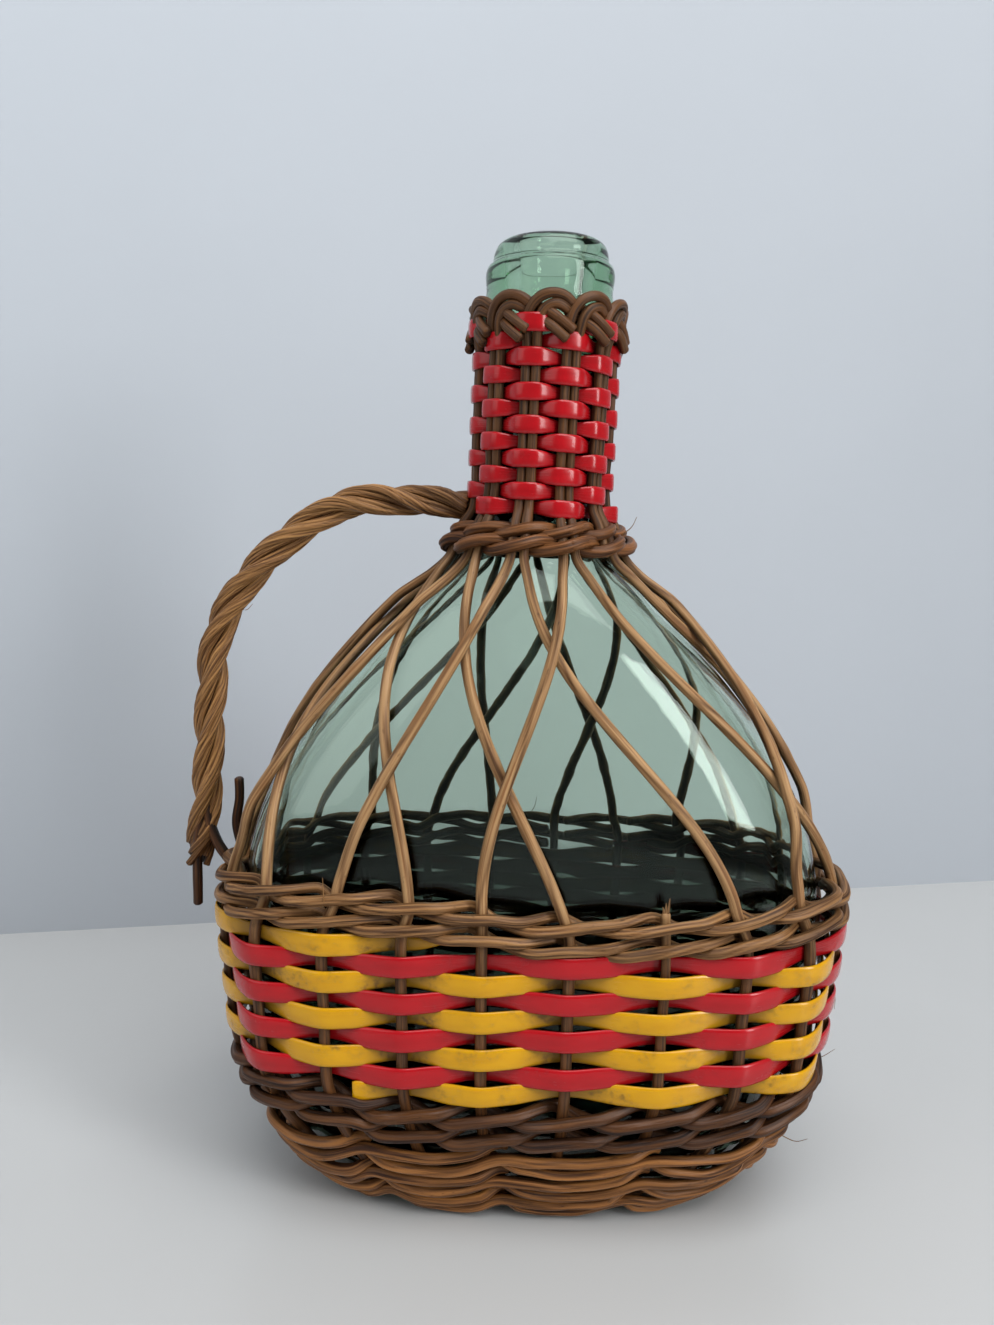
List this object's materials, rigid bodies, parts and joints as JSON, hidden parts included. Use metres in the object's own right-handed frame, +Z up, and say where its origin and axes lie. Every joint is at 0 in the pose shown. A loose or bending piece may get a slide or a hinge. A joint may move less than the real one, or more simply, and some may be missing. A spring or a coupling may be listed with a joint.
{
  "type": "demijohn",
  "caption": "Flattened glass flask with a round neck and cork mouth, held in a hand-woven cover of rods and flat strips, standing on a plaited foot, with a stiff rope handle at one side.",
  "frame": {"origin": "centre of the flat underside of the base mat, under the neck", "axes": "+Z up along the neck, X along the wide side with the handle at -X, -Y towards the front"},
  "size_m": [0.2153, 0.1137, 0.3],
  "materials": {
    "green_glass": "smooth, slightly uneven pale green bottle glass",
    "tan_rod": "peeled willow rod, dry satin",
    "grey_rod": "weathered grey-brown willow rod",
    "brown_rod": "stained red-brown willow rod",
    "dark_rod": "dark brown bark-on willow rod",
    "red_plastic": "glossy flat plastic strip",
    "yellow_plastic": "soiled semi-gloss flat plastic strip"
  },
  "bodies": {
    "root": {"base_mat": "brown_rod", "foot_border": "brown_rod", "glass_bottle": "green_glass", "handle": "tan_rod", "lower_collar_strand_1": "brown_rod", "lower_collar_strand_2": "brown_rod", "lower_wale_rod_1": "dark_rod", "lower_wale_rod_2": "dark_rod", "lower_wale_rod_3": "dark_rod", "neck_strip": "red_plastic", "red_strip": "red_plastic", "stake_01": "tan_rod", "stake_02": "tan_rod", "stake_03": "tan_rod", "stake_04": "tan_rod", "stake_05": "tan_rod", "stake_06": "tan_rod", "stake_07": "tan_rod", "stake_08": "tan_rod", "stake_09": "tan_rod", "stake_10": "tan_rod", "stake_11": "tan_rod", "stake_12": "tan_rod", "stake_13_neck_end": "tan_rod", "stake_13_stump": "tan_rod", "stake_14": "tan_rod", "stake_15": "tan_rod", "stake_16": "tan_rod", "stake_17": "tan_rod", "stake_18": "tan_rod", "stake_19": "tan_rod", "stake_20": "tan_rod", "stake_21": "tan_rod", "stake_22": "tan_rod", "upper_collar_strand_1": "brown_rod", "upper_collar_strand_2": "brown_rod", "upper_wale_rod_1": "grey_rod", "upper_wale_rod_2": "grey_rod", "upper_wale_rod_3": "grey_rod", "yellow_strip": "yellow_plastic"}
  },
  "joints": []
}
